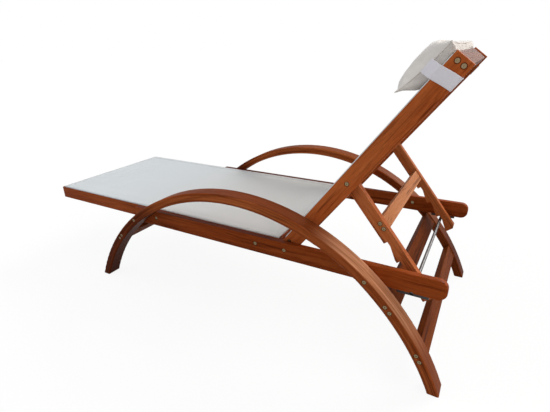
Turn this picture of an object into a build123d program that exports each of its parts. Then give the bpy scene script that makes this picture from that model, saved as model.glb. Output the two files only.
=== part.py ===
from build123d import *
import os
from math import acos, atan2, cos, degrees, hypot, radians, sin, sqrt

os.makedirs("parts", exist_ok=True)

# Reclining deck chair: two bent arms carry the side rails, the back is held by a notched prop.
# X runs from the foot end to the head end, the left side of the person who lies on it is at -Y.
# Lengths are millimetres, x sizes in this list are measured from the foot end of the seat frame.

# Side rails and the seat frame between them
frame_width = 600.0
rail_thickness = 20.0
rail_depth = 57.3
rail_top = 322.0
rail_front = 480.0
rail_rear = 1598.0
rail_end_radius = 24.0
rail_edge_radius = 3.0
rail_bolt_drop = 26.0
seat_rail_thickness = 20.0
seat_rail_depth = 48.0
seat_edge_radius = 1.5
seat_bar_thickness = 24.0
seat_bar_drop = 8.0
tenon_length = 12.0
tenon_thickness = 10.0
tenon_shoulder = 8.0
joint_gap = 0.1

# Bent arms, each one arm and two legs
arm_width = 54.5
arm_thickness = 29.7
arm_edge_radius = 4.0
foot_chamfer = 1.0
arm_top = 467.5
arm_apex = 966.0
arm_front_radius = 808.5
arm_top_radius = 681.0
arm_rear_radius = 773.0
arm_front_turn = 24.0
arm_rear_turn = 43.0

# Cross boards between the arms, placed by their height on the leg
board_width = 50.0
board_thickness = 22.0
board_edge_radius = 2.0
front_board_height = 207.0
upper_board_height = 229.0
lower_board_height = 104.0
board_bolt_spacing = 20.0

# Back frame
pivot_x = 1127.0
pivot_height = 297.0
back_length = 698.0
back_rail_depth = 49.0
back_rail_thickness = 20.0
back_edge_radius = 2.0
back_bar_thickness = 22.0
top_bar_inset = 4.0
top_bar_setback = 4.0
low_bar_reach = 24.0
low_bar_width = 42.0
hinge_gap = 1.5
hinge_clearance = 0.2
seat_to_back_gap = 3.0

# Prop frame with three notches on its front edge
prop_reach = 300.0
prop_length = 390.0
prop_depth = 36.0
prop_thickness = 20.0
prop_edge_radius = 1.5
prop_tip_cut = 10.0
notch_reach = 195.3
notch_pitch = 64.5
notch_depth = 12.0
notch_flat = 14.0
notch_ramp = 42.0
notch_count = 3
slat_reach = 150.0
slat_width = 38.0
slat_thickness = 16.0
slat_setback = 4.0

# Support rod and its straps under the side rails
rod_x = 1511.5
rod_diameter = 10.0
rod_overhang = 14.0
rod_gap = 0.3
rod_step_gap = 8.0
rod_chamfer = 0.9
strap_thickness = 7.5
strap_width = 16.0
strap_front_length = 34.0
strap_rear_length = 39.0
strap_corner_radius = 3.0
rear_screw_shares = (0.38, 0.77)
strap_screw_diameter = 4.0
strap_screw_length = 22.0
strap_screw_head = 7.5
strap_screw_head_height = 2.2

# Bolts, barrel nuts, washers and nuts
bolt_diameter = 6.0
bolt_head_diameter = 10.5
bolt_head_height = 3.5
bolt_socket_width = 4.0
bolt_socket_depth = 2.2
recess_diameter = 14.5
recess_depth = 4.5
hole_gap = 0.1
pin_gap = 0.06
barrel_diameter = 10.0
barrel_length = 14.0
barrel_inset = 28.0
bolt_reach_past_barrel = 8.0
bolt_bore_relief = 1.0
nut_width = 10.0
nut_height = 5.0
nut_washer_diameter = 13.0
nut_washer_thickness = 1.2
bolt_end_length = 2.0
nut_recess_depth = 9.0
arm_bolt_front_shift = -4.0
arm_bolt_rear_shift = 2.0
seat_bolt_front = 586.0
seat_bolt_rear = 1022.0
top_bolt_spacing = 18.0
low_bolt_spacing = 16.0
slat_bolt_spacing = 18.0

# Slings, held by a cord pressed into a groove
sling_thickness = 1.2
hem_thickness = 2.8
hem_width = 22.0
groove_width = 4.4
groove_depth = 7.0
groove_lip = 2.5
spline_diameter = 2.6
cloth_gap = 0.2

# Head pillow and its elastic strap
pillow_length = 540.0
pillow_height = 150.0
pillow_front_crown = 34.0
pillow_back_crown = 24.0
pillow_seam = 5.0
pillow_pull = 8.0
pillow_setback = 70.0
pillow_end_share = 0.98
pillow_swell_power = 4
pillow_places_share = (0.0, 0.02, 0.16, 0.5, 0.84, 0.98, 1.0)
band_setback = 60.0
band_width = 36.0
band_thickness = 1.4
band_gap = 0.5
band_return = 19.0

overrun = 5.0

# Places worked out from the sizes above
half_frame = frame_width / 2
half_seat = half_frame - rail_thickness
half_seat_inside = half_seat - seat_rail_thickness
rail_middle = rail_top - rail_depth / 2
rail_bottom = rail_top - rail_depth
rail_bolt_height = rail_top - rail_bolt_drop
rod_seat_radius = rod_diameter / 2 + rod_gap
pillow_reach = back_length - pillow_setback
band_reach = back_length - band_setback
half_back = half_seat - hinge_gap
half_back_inside = half_back - back_rail_thickness
half_prop = half_back_inside - hinge_gap
half_prop_inside = half_prop - prop_thickness
barrel_end = barrel_inset + bolt_reach_past_barrel
bore_end = barrel_end + bolt_bore_relief
seat_rail_end = pivot_x - back_rail_depth / 2 - seat_to_back_gap


def arm_arc(name, offset):
    """Centre x, centre height and radius of one of the three arcs of the arm, moved in by offset."""
    top_centre = arm_top - arm_top_radius
    if name == "front":
        turn, radius = -radians(arm_front_turn), arm_front_radius
    elif name == "rear":
        turn, radius = radians(arm_rear_turn), arm_rear_radius
    else:
        return arm_apex, top_centre, arm_top_radius - offset
    shift = arm_top_radius - radius
    return arm_apex + shift * sin(turn), top_centre + shift * cos(turn), radius - offset


def arm_point(name, offset, turn):
    centre_x, centre_z, radius = arm_arc(name, offset)
    return centre_x + radius * sin(turn), centre_z + radius * cos(turn)


def arm_turn_at(name, offset, height):
    centre_x, centre_z, radius = arm_arc(name, offset)
    turn = acos((height - centre_z) / radius)
    return -turn if name == "front" else turn


rear_foot_x = arm_point("rear", 0, arm_turn_at("rear", 0, foot_chamfer))[0]
foot_end = -rear_foot_x / 2


def board_place(name, height):
    """Centre of a cross board on the middle line of the leg, and the slope of the leg there."""
    turn = arm_turn_at(name, arm_thickness / 2, height)
    x, z = arm_point(name, arm_thickness / 2, turn)
    return x, z, -degrees(turn)


# The rod closes the triangle of back, prop and rail, which gives the angle of the back
rod_height = rail_bottom
rod_along = notch_reach + notch_pitch * (notch_count - 1) + rod_diameter / 2 + rod_step_gap
rod_across = prop_depth / 2 - notch_depth + rod_diameter / 2 + rod_gap
prop_to_rod = hypot(rod_along, rod_across)
pivot_to_rod = hypot(rod_x - pivot_x, rod_height - pivot_height)
corner = acos((prop_reach**2 + pivot_to_rod**2 - prop_to_rod**2) / (2 * prop_reach * pivot_to_rod))
back_angle = degrees(corner + atan2(rod_height - pivot_height, rod_x - pivot_x))
prop_pivot_x = pivot_x + prop_reach * cos(radians(back_angle))
prop_pivot_height = pivot_height + prop_reach * sin(radians(back_angle))
rod_slope = atan2(rod_height - prop_pivot_height, rod_x - prop_pivot_x)
prop_angle = degrees(rod_slope + atan2(rod_across, rod_along))


def side_plane(y, x=0.0, z=0.0, angle=0.0):
    """Upright plane at y that faces -Y, with its origin at x, z and its own x turned up by angle."""
    turn = radians(angle)
    return Plane(origin=(foot_end + x, y, z), x_dir=(cos(turn), 0, sin(turn)), z_dir=(0, -1, 0))


def back_plane(y):
    return side_plane(y, pivot_x, pivot_height, back_angle)


def prop_plane(y):
    return side_plane(y, prop_pivot_x, prop_pivot_height, prop_angle)


def finish(builder, name):
    builder.part.label = name
    export_step(builder.part, f"parts/{name}.step")


def drill(plane, places, radius, start, end):
    """Cuts round holes along Y at places on a side plane, from start to end along its normal."""
    with BuildSketch(plane.offset(start)) as holes:
        with Locations(*places):
            Circle(radius)
    extrude(holes.sketch, amount=end - start, mode=Mode.SUBTRACT)


arm_bolt_places = [
    (board_place("front", rail_bolt_height)[0] + arm_bolt_front_shift, rail_bolt_height),
    (board_place("rear", rail_bolt_height)[0] + arm_bolt_rear_shift, rail_bolt_height),
]
seat_bolt_places = [(seat_bolt_front, rail_bolt_height), (seat_bolt_rear, rail_bolt_height)]
boards = {
    "front_crossbar": board_place("front", front_board_height),
    "upper_rear_crossbar": board_place("rear", upper_board_height),
    "lower_rear_crossbar": board_place("rear", lower_board_height),
}


def board_bolt_places(x, z, slope):
    """The two bolts of a cross board lie along the leg."""
    reach = board_bolt_spacing / 2
    turn = radians(slope)
    return [(x + side * reach * cos(turn), z + side * reach * sin(turn)) for side in (-1, 1)]


all_board_bolts = [place for board in boards.values() for place in board_bolt_places(*board)]
sides = {"left": -1, "right": 1}

# Screws of the rod straps, in front of the rod and behind it
strap_front = rod_x - rod_seat_radius - strap_front_length
strap_rear = rod_x + rod_seat_radius + strap_rear_length
strap_screws = [(strap_front + rod_x - rod_seat_radius) / 2] + [
    rod_x + rod_seat_radius + strap_rear_length * share for share in rear_screw_shares
]
strap_middle = half_seat + rail_thickness / 2
strap_screw_grip = strap_screw_length - strap_screw_head_height - strap_thickness

# Bent arms
for name, side in sides.items():
    inner_face = side_plane(side * half_frame)
    with BuildPart() as arm:
        with BuildSketch(inner_face):
            with BuildLine():
                ends = []
                for offset in (0, arm_thickness):
                    front_foot = arm_turn_at("front", offset, -overrun)
                    rear_foot = arm_turn_at("rear", offset, -overrun)
                    spans = [
                        ("front", front_foot, -radians(arm_front_turn)),
                        ("top", -radians(arm_front_turn), radians(arm_rear_turn)),
                        ("rear", radians(arm_rear_turn), rear_foot),
                    ]
                    for part, start, stop in spans:
                        turns = (start, (start + stop) / 2, stop)
                        ThreePointArc(*[arm_point(part, offset, turn) for turn in turns])
                    front_end = arm_point("front", offset, front_foot)
                    ends.append((front_end, arm_point("rear", offset, rear_foot)))
                Line(ends[0][0], ends[1][0])
                Line(ends[0][1], ends[1][1])
            make_face()
        extrude(amount=-side * arm_width)
        fillet(arm.edges().filter_by(GeomType.CIRCLE), radius=arm_edge_radius)
        split(bisect_by=Plane.XY)
        chamfer(arm.faces().filter_by(Axis.Z).edges(), length=foot_chamfer)
        bolt_places = arm_bolt_places + all_board_bolts
        outside = -side * (arm_width + overrun)
        drill(inner_face, bolt_places, bolt_diameter / 2 + hole_gap, side * overrun, outside)
        recess_floor = -side * (arm_width - recess_depth)
        drill(inner_face, bolt_places, recess_diameter / 2, recess_floor, outside)
    finish(arm, f"arm_{name}")

# Side rails
for name, side in sides.items():
    inner_face = side_plane(side * half_seat)
    with BuildPart() as rail:
        with BuildSketch(inner_face):
            with Locations(((rail_front + rail_rear) / 2, rail_middle)):
                Rectangle(rail_rear - rail_front, rail_depth)
        extrude(amount=-side * rail_thickness)
        rear_corners = rail.edges().filter_by(Axis.Y).group_by(Axis.X)[-1]
        fillet(rear_corners, radius=rail_end_radius)
        long_edges = rail.edges().filter_by(GeomType.CIRCLE) + rail.edges().filter_by(Axis.X)
        fillet(long_edges, radius=rail_edge_radius)
        hole = bolt_diameter / 2 + hole_gap
        through = (side * overrun, -side * (rail_thickness + overrun))
        drill(inner_face, arm_bolt_places + seat_bolt_places, hole, *through)
        drill(inner_face, [(pivot_x, pivot_height)], bolt_diameter / 2 + pin_gap, *through)
        recess = (-side * (rail_thickness - recess_depth), -side * (rail_thickness + overrun))
        drill(inner_face, seat_bolt_places + [(pivot_x, pivot_height)], recess_diameter / 2, *recess)
        drill(inner_face, arm_bolt_places[1:], recess_diameter / 2, side * overrun, -side * nut_recess_depth)
        with BuildSketch(inner_face):
            with Locations((rod_x, rod_height)):
                Circle(rod_seat_radius)
        extrude(amount=rail_thickness + overrun, both=True, mode=Mode.SUBTRACT)
        with BuildSketch(Plane.XY.offset(rail_bottom - overrun)):
            with Locations(*[(foot_end + x, side * strap_middle) for x in strap_screws]):
                Circle(strap_screw_diameter / 2 + hole_gap)
        extrude(amount=overrun + strap_screw_grip + joint_gap, mode=Mode.SUBTRACT)
    finish(rail, f"side_rail_{name}")

# Seat frame: two rails, a foot bar and a rear bar, joined by stub tenons
seat_rail_middle = rail_top - seat_rail_depth / 2
seat_bar_places = {
    "foot_bar": seat_bar_thickness / 2,
    "seat_rear_bar": seat_rail_end - seat_bar_thickness / 2,
}
seat_bar_bottom = rail_top - seat_rail_depth + seat_bar_drop
seat_bar_middle = (rail_top + seat_bar_bottom) / 2
tenon_height = rail_top - seat_bar_bottom - tenon_shoulder * 2


def frame_ring(plane, middle, length, width, outer_inset, inner_inset):
    """Rectangular ring on plane, between two insets from a frame of length and width."""
    with BuildSketch(plane) as ring:
        with Locations((middle, 0)):
            Rectangle(length - outer_inset * 2, width - outer_inset * 2)
            Rectangle(length - inner_inset * 2, width - inner_inset * 2, mode=Mode.SUBTRACT)
    return ring.sketch


def cut_groove(plane, middle, length, width):
    """Groove for the sling's cord, all round the face of a frame."""
    ring = frame_ring(
        plane.offset(-groove_depth), middle, length, width, groove_lip, groove_lip + groove_width
    )
    extrude(ring, amount=groove_depth + overrun, mode=Mode.SUBTRACT)


seat_top = Plane((foot_end, 0, rail_top))
seat_face = (seat_top, seat_rail_end / 2, seat_rail_end, half_seat * 2)


for name, side in sides.items():
    inner_face = side_plane(side * half_seat_inside)
    with BuildPart() as seat_rail:
        with BuildSketch(inner_face):
            with Locations((seat_rail_end / 2, seat_rail_middle)):
                Rectangle(seat_rail_end, seat_rail_depth)
        extrude(amount=-side * seat_rail_thickness)
        fillet(seat_rail.edges().filter_by(Axis.X), radius=seat_edge_radius)
        cut_groove(*seat_face)
        with BuildSketch(inner_face):
            with Locations(*[(x, seat_bar_middle) for x in seat_bar_places.values()]):
                Rectangle(tenon_thickness + joint_gap * 2, tenon_height + joint_gap * 2)
        extrude(amount=-side * (tenon_length + joint_gap), mode=Mode.SUBTRACT)
        hole = bolt_diameter / 2 + hole_gap
        places = seat_bolt_places + [arm_bolt_places[0]]
        drill(inner_face, places, hole, side * overrun, -side * (seat_rail_thickness + overrun))
    finish(seat_rail, f"seat_rail_{name}")

for name, x in seat_bar_places.items():
    with BuildPart() as seat_bar:
        with BuildSketch(side_plane(half_seat_inside, x, seat_bar_middle)):
            Rectangle(seat_bar_thickness, rail_top - seat_bar_bottom)
        extrude(amount=half_seat_inside * 2)
        fillet(seat_bar.edges().filter_by(Axis.Y).group_by(Axis.Z)[0], radius=seat_edge_radius)
        with BuildSketch(side_plane(half_seat_inside + tenon_length, x, seat_bar_middle)):
            Rectangle(tenon_thickness, tenon_height)
        extrude(amount=(half_seat_inside + tenon_length) * 2)
        cut_groove(*seat_face)
    finish(seat_bar, name)

# Cross boards between the arms, with bolt bores and cross bores for the barrel nuts
for name, (x, z, slope) in boards.items():
    with BuildPart() as board:
        with BuildSketch(side_plane(half_frame, x, z, slope)):
            Rectangle(board_width, board_thickness)
        extrude(amount=frame_width)
        fillet(board.edges().filter_by(Axis.Y), radius=board_edge_radius)
        for side in (-1, 1):
            end_face = side_plane(side * half_frame)
            places = board_bolt_places(x, z, slope)
            drill(end_face, places, bolt_diameter / 2 + hole_gap, -side * overrun, side * bore_end)
            across = Plane(
                origin=(foot_end + x, side * (half_frame - barrel_inset), z),
                x_dir=(cos(radians(slope)), 0, sin(radians(slope))),
                z_dir=(-sin(radians(slope)), 0, cos(radians(slope))),
            )
            with BuildSketch(across.offset(-board_thickness / 2 - overrun)):
                with Locations((-board_bolt_spacing / 2, 0), (board_bolt_spacing / 2, 0)):
                    Circle(barrel_diameter / 2 + hole_gap)
            extrude(amount=barrel_length / 2 + board_thickness / 2 + overrun, mode=Mode.SUBTRACT)
    finish(board, name)

# Back frame rails, round at the hinge
back_front = back_rail_depth / 2
top_bar_middle = back_length - top_bar_inset - back_bar_thickness / 2
top_bar_depth = back_rail_depth - top_bar_setback
top_bar_offset = back_front - top_bar_depth / 2
top_bolt_places = [(top_bar_middle, side * top_bolt_spacing / 2) for side in (-1, 1)]
low_bar_offset = back_front - low_bar_width / 2
low_bolt_places = [(low_bar_reach, side * low_bolt_spacing / 2) for side in (-1, 1)]
back_frame_low = low_bar_reach - back_bar_thickness / 2
back_frame_high = top_bar_middle + back_bar_thickness / 2


def back_face_plane(offset):
    """Plane of the back frame's front face, with x up the back and y towards -Y."""
    turn = radians(back_angle)
    reach = back_front + offset
    origin = (foot_end + pivot_x - reach * sin(turn), 0, pivot_height + reach * cos(turn))
    return Plane(origin=origin, x_dir=(cos(turn), 0, sin(turn)), z_dir=(-sin(turn), 0, cos(turn)))


back_face = (
    back_face_plane(0),
    (back_frame_low + back_frame_high) / 2,
    back_frame_high - back_frame_low,
    half_back * 2,
)

for name, side in sides.items():
    inner_face = back_plane(side * half_back_inside)
    with BuildPart() as back_rail:
        with BuildSketch(inner_face):
            Circle(back_front)
            with Locations((back_length / 2, 0)):
                Rectangle(back_length, back_rail_depth)
        extrude(amount=-side * back_rail_thickness)
        fillet(back_rail.faces().filter_by(Axis.Y).edges(), radius=back_edge_radius)
        cut_groove(*back_face)
        hole = bolt_diameter / 2 + hole_gap
        through = (side * overrun, -side * (back_rail_thickness + overrun))
        recess = (-side * (back_rail_thickness - recess_depth), -side * (back_rail_thickness + overrun))
        drill(inner_face, [(0, 0)], bolt_diameter / 2 + pin_gap, *through)
        places = top_bolt_places + low_bolt_places + [(prop_reach, 0)]
        drill(inner_face, places, hole, *through)
        drill(inner_face, places, recess_diameter / 2, *recess)
    finish(back_rail, f"back_rail_{name}")

back_bars = {
    "back_top_bar": (top_bar_middle, top_bar_offset, top_bar_depth, top_bolt_places),
    "back_low_bar": (low_bar_reach, low_bar_offset, low_bar_width, low_bolt_places),
}
for name, (reach, offset, depth, places) in back_bars.items():
    with BuildPart() as back_bar:
        with BuildSketch(back_plane(half_back_inside)):
            with Locations((reach, offset)):
                Rectangle(back_bar_thickness, depth)
        extrude(amount=half_back_inside * 2)
        outward = Axis((0, 0, 0), back_face[0].z_dir)
        rear_edges = back_bar.edges().filter_by(Axis.Y).sort_by(outward)[:2]
        fillet(rear_edges, radius=back_edge_radius)
        cut_groove(*back_face)
        for side in (-1, 1):
            end_face = back_plane(side * half_back_inside)
            drill(end_face, places, bolt_diameter / 2 + hole_gap, -side * overrun, side * bore_end)
    finish(back_bar, name)

# Prop legs with notches on the front edge
for name, side in sides.items():
    inner_face = prop_plane(side * half_prop_inside)
    half_depth = prop_depth / 2
    with BuildPart() as prop_leg:
        with BuildSketch(inner_face):
            Circle(half_depth)
            with BuildLine():
                outline = [(0, half_depth), (0, -half_depth)]
                for index in range(notch_count):
                    step = notch_reach + index * notch_pitch
                    outline += [
                        (step, -half_depth),
                        (step, notch_depth - half_depth),
                        (step + notch_flat, notch_depth - half_depth),
                        (step + notch_flat + notch_ramp, -half_depth),
                    ]
                outline += [
                    (prop_length, -half_depth),
                    (prop_length, half_depth - prop_tip_cut),
                    (prop_length - prop_tip_cut, half_depth),
                ]
                Polyline(*outline, close=True)
            make_face()
        extrude(amount=-side * prop_thickness)
        straight = prop_leg.edges().filter_by(GeomType.LINE)
        rear_edge = straight.filter_by(lambda edge: edge.length > prop_length / 2)
        fillet(rear_edge, radius=prop_edge_radius)
        through = (side * overrun, -side * (prop_thickness + overrun))
        drill(inner_face, [(0, 0)], bolt_diameter / 2 + pin_gap, *through)
        slat_height = half_depth - slat_setback - slat_thickness / 2
        slat_places = [(slat_reach + end * slat_bolt_spacing / 2, slat_height) for end in (-1, 1)]
        drill(inner_face, slat_places, bolt_diameter / 2 + hole_gap, *through)
        recess = (-side * (prop_thickness - recess_depth), -side * (prop_thickness + overrun))
        drill(inner_face, slat_places, recess_diameter / 2, *recess)
    finish(prop_leg, f"prop_leg_{name}")

with BuildPart() as prop_slat:
    with BuildSketch(prop_plane(half_prop_inside)):
        with Locations((slat_reach, slat_height)):
            Rectangle(slat_width, slat_thickness)
    extrude(amount=half_prop_inside * 2)
    fillet(prop_slat.edges().filter_by(Axis.Y), radius=prop_edge_radius)
    for side in (-1, 1):
        end_face = prop_plane(side * half_prop_inside)
        drill(end_face, slat_places, bolt_diameter / 2 + hole_gap, -side * overrun, side * bore_end)
finish(prop_slat, "prop_slat")

# Support rod across the rails and the straps that hold its ends
rod_half_length = half_seat + rod_overhang
with BuildPart() as support_rod:
    with BuildSketch(side_plane(rod_half_length, rod_x, rod_height)):
        Circle(rod_diameter / 2)
    extrude(amount=rod_half_length * 2)
    chamfer(support_rod.edges().filter_by(GeomType.CIRCLE), length=rod_chamfer)
finish(support_rod, "support_rod")

for name, side in sides.items():
    with BuildPart() as rod_strap:
        with BuildSketch(Plane.XY.offset(rail_bottom - strap_thickness)):
            with Locations((foot_end + (strap_front + strap_rear) / 2, side * strap_middle)):
                RectangleRounded(strap_rear - strap_front, strap_width, strap_corner_radius)
        extrude(amount=strap_thickness)
        with BuildSketch(side_plane(side * strap_middle, rod_x, rod_height)):
            Circle(rod_seat_radius)
        extrude(amount=strap_width, both=True, mode=Mode.SUBTRACT)
        with BuildSketch(Plane.XY.offset(rail_bottom + overrun)):
            with Locations(*[(foot_end + x, side * strap_middle) for x in strap_screws]):
                Circle(strap_screw_diameter / 2 + hole_gap)
        extrude(amount=-strap_thickness - overrun * 2, mode=Mode.SUBTRACT)
    finish(rod_strap, f"rod_strap_{name}")

with BuildPart() as strap_screw_group:
    places = [(foot_end + x, side * strap_middle) for x in strap_screws for side in (-1, 1)]
    head_plane = Plane.XY.offset(rail_bottom - strap_thickness - strap_screw_head_height)
    with BuildSketch(head_plane):
        with Locations(*places):
            Circle(strap_screw_head / 2)
    extrude(amount=strap_screw_head_height)
    with BuildSketch(head_plane):
        with Locations(*places):
            Circle(strap_screw_diameter / 2)
    extrude(amount=strap_screw_length)
finish(strap_screw_group, "rod_strap_screws")


def bolt(plane, places, side, head_level, end_level):
    """Round-headed bolts with a hexagon socket, from head_level inwards to end_level."""
    with BuildSketch(plane.offset(-side * head_level)) as heads:
        with Locations(*places):
            Circle(bolt_head_diameter / 2)
    extrude(heads.sketch, amount=-side * bolt_head_height)
    with BuildSketch(plane.offset(-side * head_level)) as shanks:
        with Locations(*places):
            Circle(bolt_diameter / 2)
    extrude(shanks.sketch, amount=side * (head_level - end_level))
    socket_floor = head_level + bolt_head_height - bolt_socket_depth
    with BuildSketch(plane.offset(-side * socket_floor)) as sockets:
        with Locations(*places):
            RegularPolygon(bolt_socket_width / 2, 6, major_radius=False)
    extrude(sockets.sketch, amount=-side * (bolt_socket_depth + overrun), mode=Mode.SUBTRACT)


def nuts(plane, places, side, level):
    """Hexagon nuts on washers that sit on the inner face at level."""
    with BuildSketch(plane.offset(-side * level)) as washers:
        with Locations(*places):
            Circle(nut_washer_diameter / 2)
            Circle(bolt_diameter / 2 + hole_gap, mode=Mode.SUBTRACT)
    extrude(washers.sketch, amount=side * nut_washer_thickness)
    with BuildSketch(plane.offset(-side * (level - nut_washer_thickness))) as rings:
        with Locations(*places):
            RegularPolygon(nut_width / 2, 6, major_radius=False)
            Circle(bolt_diameter / 2 + hole_gap, mode=Mode.SUBTRACT)
    extrude(rings.sketch, amount=side * nut_height)


nut_stack = nut_washer_thickness + nut_height + bolt_end_length
arm_head_level = half_frame + arm_width - recess_depth
rail_head_level = half_frame - recess_depth
back_head_level = half_back - recess_depth
prop_head_level = half_prop - recess_depth
rear_nut_level = half_seat + nut_recess_depth
back_nut_level = half_back_inside - hinge_clearance
prop_nut_level = half_prop_inside - hinge_clearance
frame_plane = side_plane(0)
back_middle_plane = back_plane(0)
prop_middle_plane = prop_plane(0)

bar_bolt_places = top_bolt_places + low_bolt_places

# Each group: the plane of its places, then places, head level, end level and the level of its nuts
bolt_groups = {
    "arm_bolts": [
        (frame_plane, arm_bolt_places[:1], arm_head_level, half_seat_inside - nut_stack, half_seat_inside),
        (frame_plane, arm_bolt_places[1:], arm_head_level, rear_nut_level - nut_stack, rear_nut_level),
    ],
    "crossbar_bolts": [(frame_plane, all_board_bolts, arm_head_level, half_frame - barrel_end, None)],
    "seat_frame_bolts": [
        (frame_plane, seat_bolt_places, rail_head_level, half_seat_inside - nut_stack, half_seat_inside)
    ],
    "back_hinge_bolts": [
        (frame_plane, [(pivot_x, pivot_height)], rail_head_level, back_nut_level - nut_stack, back_nut_level)
    ],
    "prop_hinge_bolts": [
        (back_middle_plane, [(prop_reach, 0)], back_head_level, prop_nut_level - nut_stack, prop_nut_level)
    ],
    "back_bar_bolts": [
        (back_middle_plane, bar_bolt_places, back_head_level, half_back_inside - barrel_end, None)
    ],
    "prop_slat_bolts": [
        (prop_middle_plane, slat_places, prop_head_level, half_prop_inside - barrel_end, None)
    ],
}
for name, groups in bolt_groups.items():
    with BuildPart() as bolt_group:
        for plane, places, head_level, end_level, _ in groups:
            for side in (-1, 1):
                bolt(plane, places, side, head_level, end_level)
    finish(bolt_group, name)
    nut_groups = [group for group in groups if group[4] is not None]
    if nut_groups:
        with BuildPart() as nut_group:
            for plane, places, _, _, level in nut_groups:
                for side in (-1, 1):
                    nuts(plane, places, side, level)
        finish(nut_group, name.replace("bolts", "nuts"))

# Barrel nuts inside the cross boards
with BuildPart() as barrel_nuts:
    for x, z, slope in boards.values():
        turn = radians(slope)
        for side in (-1, 1):
            across = Plane(
                origin=(foot_end + x, side * (half_frame - barrel_inset), z),
                x_dir=(cos(turn), 0, sin(turn)),
                z_dir=(-sin(turn), 0, cos(turn)),
            )
            with BuildSketch(across.offset(-barrel_length / 2)):
                with Locations((-board_bolt_spacing / 2, 0), (board_bolt_spacing / 2, 0)):
                    Circle(barrel_diameter / 2)
            extrude(amount=barrel_length)
            end_face = side_plane(side * half_frame)
            places = board_bolt_places(x, z, slope)
            drill(end_face, places, bolt_diameter / 2 + hole_gap / 2, 0, side * barrel_inset * 2)
finish(barrel_nuts, "crossbar_barrel_nuts")

# Spacer washers at the hinges
washer_groups = {
    "back_hinge_washers": (side_plane(0, pivot_x, pivot_height), half_back, half_seat),
    "prop_hinge_washers": (prop_middle_plane, half_prop, half_back_inside),
}
washer_thickness = hinge_gap - hinge_clearance * 2
for name, (plane, low, high) in washer_groups.items():
    with BuildPart() as washers:
        for side in (-1, 1):
            with BuildSketch(plane.offset(-side * (low + high) / 2)):
                Circle(nut_washer_diameter / 2)
                Circle(bolt_diameter / 2 + hole_gap, mode=Mode.SUBTRACT)
            extrude(amount=washer_thickness / 2, both=True)
    finish(washers, name)

# Slings: a sheet with hems, and a tongue that goes down into the groove
tongue_inset = groove_lip + groove_width - sling_thickness - cloth_gap
cord_inset = groove_lip + hole_gap


def sling(plane, middle, length, width):
    """Sheet over a frame, with its hems on top of the frame and its tongue in the groove."""
    with BuildSketch(plane.offset(cloth_gap)) as sheet:
        with Locations((middle, 0)):
            Rectangle(length - tongue_inset * 2, width - tongue_inset * 2)
    extrude(sheet.sketch, amount=sling_thickness)
    hem_end = tongue_inset + hem_width
    hem = frame_ring(plane.offset(cloth_gap), middle, length, width, tongue_inset, hem_end)
    extrude(hem, amount=hem_thickness)
    tongue_end = plane.offset(cloth_gap - groove_depth)
    tongue = frame_ring(tongue_end, middle, length, width, tongue_inset, tongue_inset + sling_thickness)
    extrude(tongue, amount=groove_depth)


for name, face in {"seat": seat_face, "back": back_face}.items():
    with BuildPart() as cloth:
        sling(*face)
    finish(cloth, f"{name}_sling")
    with BuildPart() as cord:
        plane, *frame_size = face
        floor = plane.offset(cloth_gap - groove_depth)
        ring = frame_ring(floor, *frame_size, cord_inset, cord_inset + spline_diameter)
        extrude(ring, amount=spline_diameter)
    finish(cord, f"{name}_sling_cord")

# Elastic band from the pillow's end seams round the back rails, its ends turned in clear of the prop
pillow_rest = hem_thickness + cloth_gap + band_gap
seam_level = pillow_rest + pillow_back_crown
band_rear = -back_rail_depth - band_gap
band_side = half_back + band_gap
band_end = pillow_length / 2 + band_gap
with BuildPart() as band:
    band_plane = back_face_plane(0)
    band_start = band_plane.from_local_coords((band_reach - band_width / 2, 0, 0))
    section = Plane(origin=band_start, x_dir=band_plane.y_dir, z_dir=band_plane.x_dir)
    with BuildSketch(section):
        with BuildLine():
            outline = [
                (band_end, seam_level),
                (band_end + band_thickness, seam_level),
                (band_side + band_thickness, pillow_rest),
                (band_side + band_thickness, band_rear - band_thickness),
                (band_side - band_return, band_rear - band_thickness),
                (band_side - band_return, band_rear),
                (band_side, band_rear),
                (band_side, pillow_rest),
            ]
            Polyline(*outline, close=True)
        make_face()
        mirror(about=Plane.YZ)
    extrude(amount=band_width)
finish(band, "pillow_band")

# Pillow: a crowned closed form, thin at its seam and drawn in between its corners
with BuildPart() as pillow:
    middle_plane = back_face_plane(seam_level)
    for share in pillow_places_share:
        place = share * pillow_length - pillow_length / 2
        swell = sqrt(1 - pillow_end_share * (2 * share - 1) ** pillow_swell_power)
        front = pillow_seam / 2 + (pillow_front_crown - pillow_seam / 2) * swell
        back = pillow_seam / 2 + (pillow_back_crown - pillow_seam / 2) * swell
        half_height = pillow_height / 2 - pillow_pull * swell
        origin = middle_plane.from_local_coords((pillow_reach, place, 0))
        with BuildSketch(Plane(origin=origin, x_dir=middle_plane.x_dir, z_dir=middle_plane.y_dir)):
            with BuildLine():
                side_height = pillow_seam / 2
                ThreePointArc((-half_height, -side_height), (0, -front), (half_height, -side_height))
                Line((half_height, -side_height), (half_height, side_height))
                ThreePointArc((half_height, side_height), (0, back), (-half_height, side_height))
                Line((-half_height, side_height), (-half_height, -side_height))
            make_face()
    loft()
finish(pillow, "pillow")

print("back angle", round(back_angle, 3), "prop angle", round(prop_angle, 3))
print("foot end x", round(foot_end, 3), "rod height", rod_height)
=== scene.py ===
import math
from math import cos, pi, radians, sin

import bmesh
import bpy
from mathutils import Matrix, Vector, noise


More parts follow.
